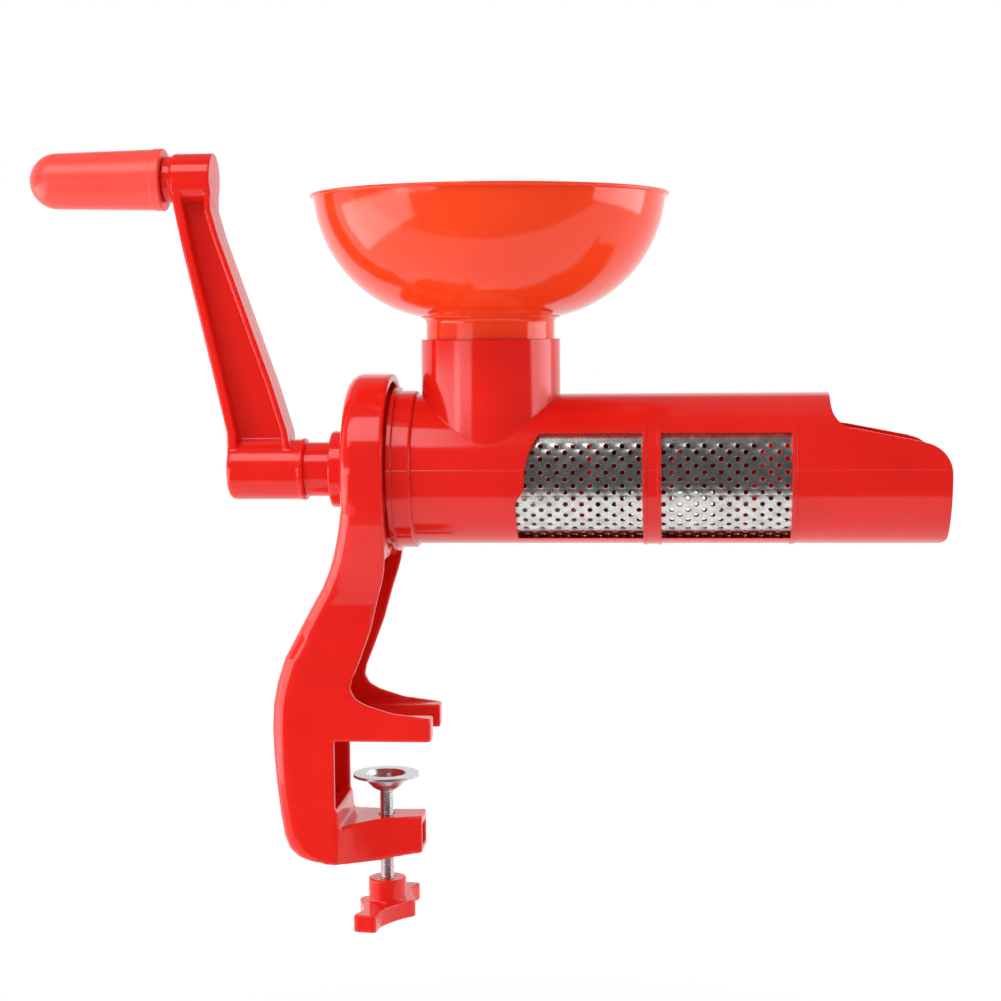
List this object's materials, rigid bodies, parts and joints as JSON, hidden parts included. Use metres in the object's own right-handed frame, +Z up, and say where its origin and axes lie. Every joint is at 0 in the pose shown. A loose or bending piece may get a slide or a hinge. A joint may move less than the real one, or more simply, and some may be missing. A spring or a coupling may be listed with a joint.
{
  "type": "hand crank tomato strainer",
  "caption": "Clamp-on hand-crank tomato strainer with a round hopper bowl, a sieve barrel with side windows, an open spout and a table clamp with a wing knob.",
  "frame": {"origin": "on the clamp screw's axis, in the plane of the upper jaw's underside, where the table top's upper face lies", "axes": "+X along the barrel from the crank to the spout, +Y to the left of someone looking from the crank to the spout, +Z up along the clamp screw"},
  "size_m": [0.3904, 0.1524, 0.3347],
  "materials": {
    "red_plastic": "glossy polypropylene",
    "orange_plastic": "glossy polypropylene",
    "grip_plastic": "satin polypropylene",
    "sieve_steel": "perforated stainless sheet",
    "zinc_steel": "bright zinc",
    "black_rubber": "matte",
    "white_nylon": "matte",
    "brass": "turned"
  },
  "bodies": {
    "stand": {"clamp_stand": "red_plastic", "clamp_nut": "zinc_steel", "shaft_seal": "black_rubber"},
    "barrel": {"body_housing": "red_plastic", "sieve_tube": "sieve_steel", "body_gasket": "black_rubber"},
    "hopper": {"hopper_bowl": "orange_plastic"},
    "drive": {"auger": "red_plastic", "thrust_washer": "white_nylon", "shaft_insert": "brass", "crank_arm": "red_plastic", "crank_bolt": "zinc_steel", "crank_washer": "zinc_steel"},
    "handle": {"grip": "grip_plastic"},
    "disc": {"clamp_disc": "zinc_steel"},
    "screw": {"clamp_screw": "zinc_steel", "clamp_knob": "red_plastic"}
  },
  "joints": [
    {"name": "body_twist", "type": "hinge", "parent": "stand", "child": "barrel", "pos_m": [0, 0, 0.115], "axis": [1, 0, 0], "range_deg": [0, 60]},
    {"name": "hopper_lift", "type": "slide", "parent": "barrel", "child": "hopper", "axis": [0, 0, 1], "range_m": [0, 0.06]},
    {"name": "crank_spin", "type": "hinge", "parent": "stand", "child": "drive", "pos_m": [-0.03, 0, 0.115], "axis": [1, 0, 0], "continuous": true},
    {"name": "grip_spin", "type": "hinge", "parent": "drive", "child": "handle", "pos_m": [-0.12, 0, 0.24], "axis": [1, 0, 0], "continuous": true},
    {"name": "clamp_travel", "type": "slide", "parent": "stand", "child": "disc", "axis": [0, 0, 1], "range_m": [-0.01, 0.0095]},
    {"name": "screw_turn", "type": "hinge", "parent": "disc", "child": "screw", "pos_m": [0, 0, -0.05], "axis": [0, 0, 1], "range_deg": [-3590, 3400]}
  ],
  "couplings": [
    {"joint": "clamp_travel", "follows": "screw_turn", "m_per_rad": 0.00015915}
  ]
}
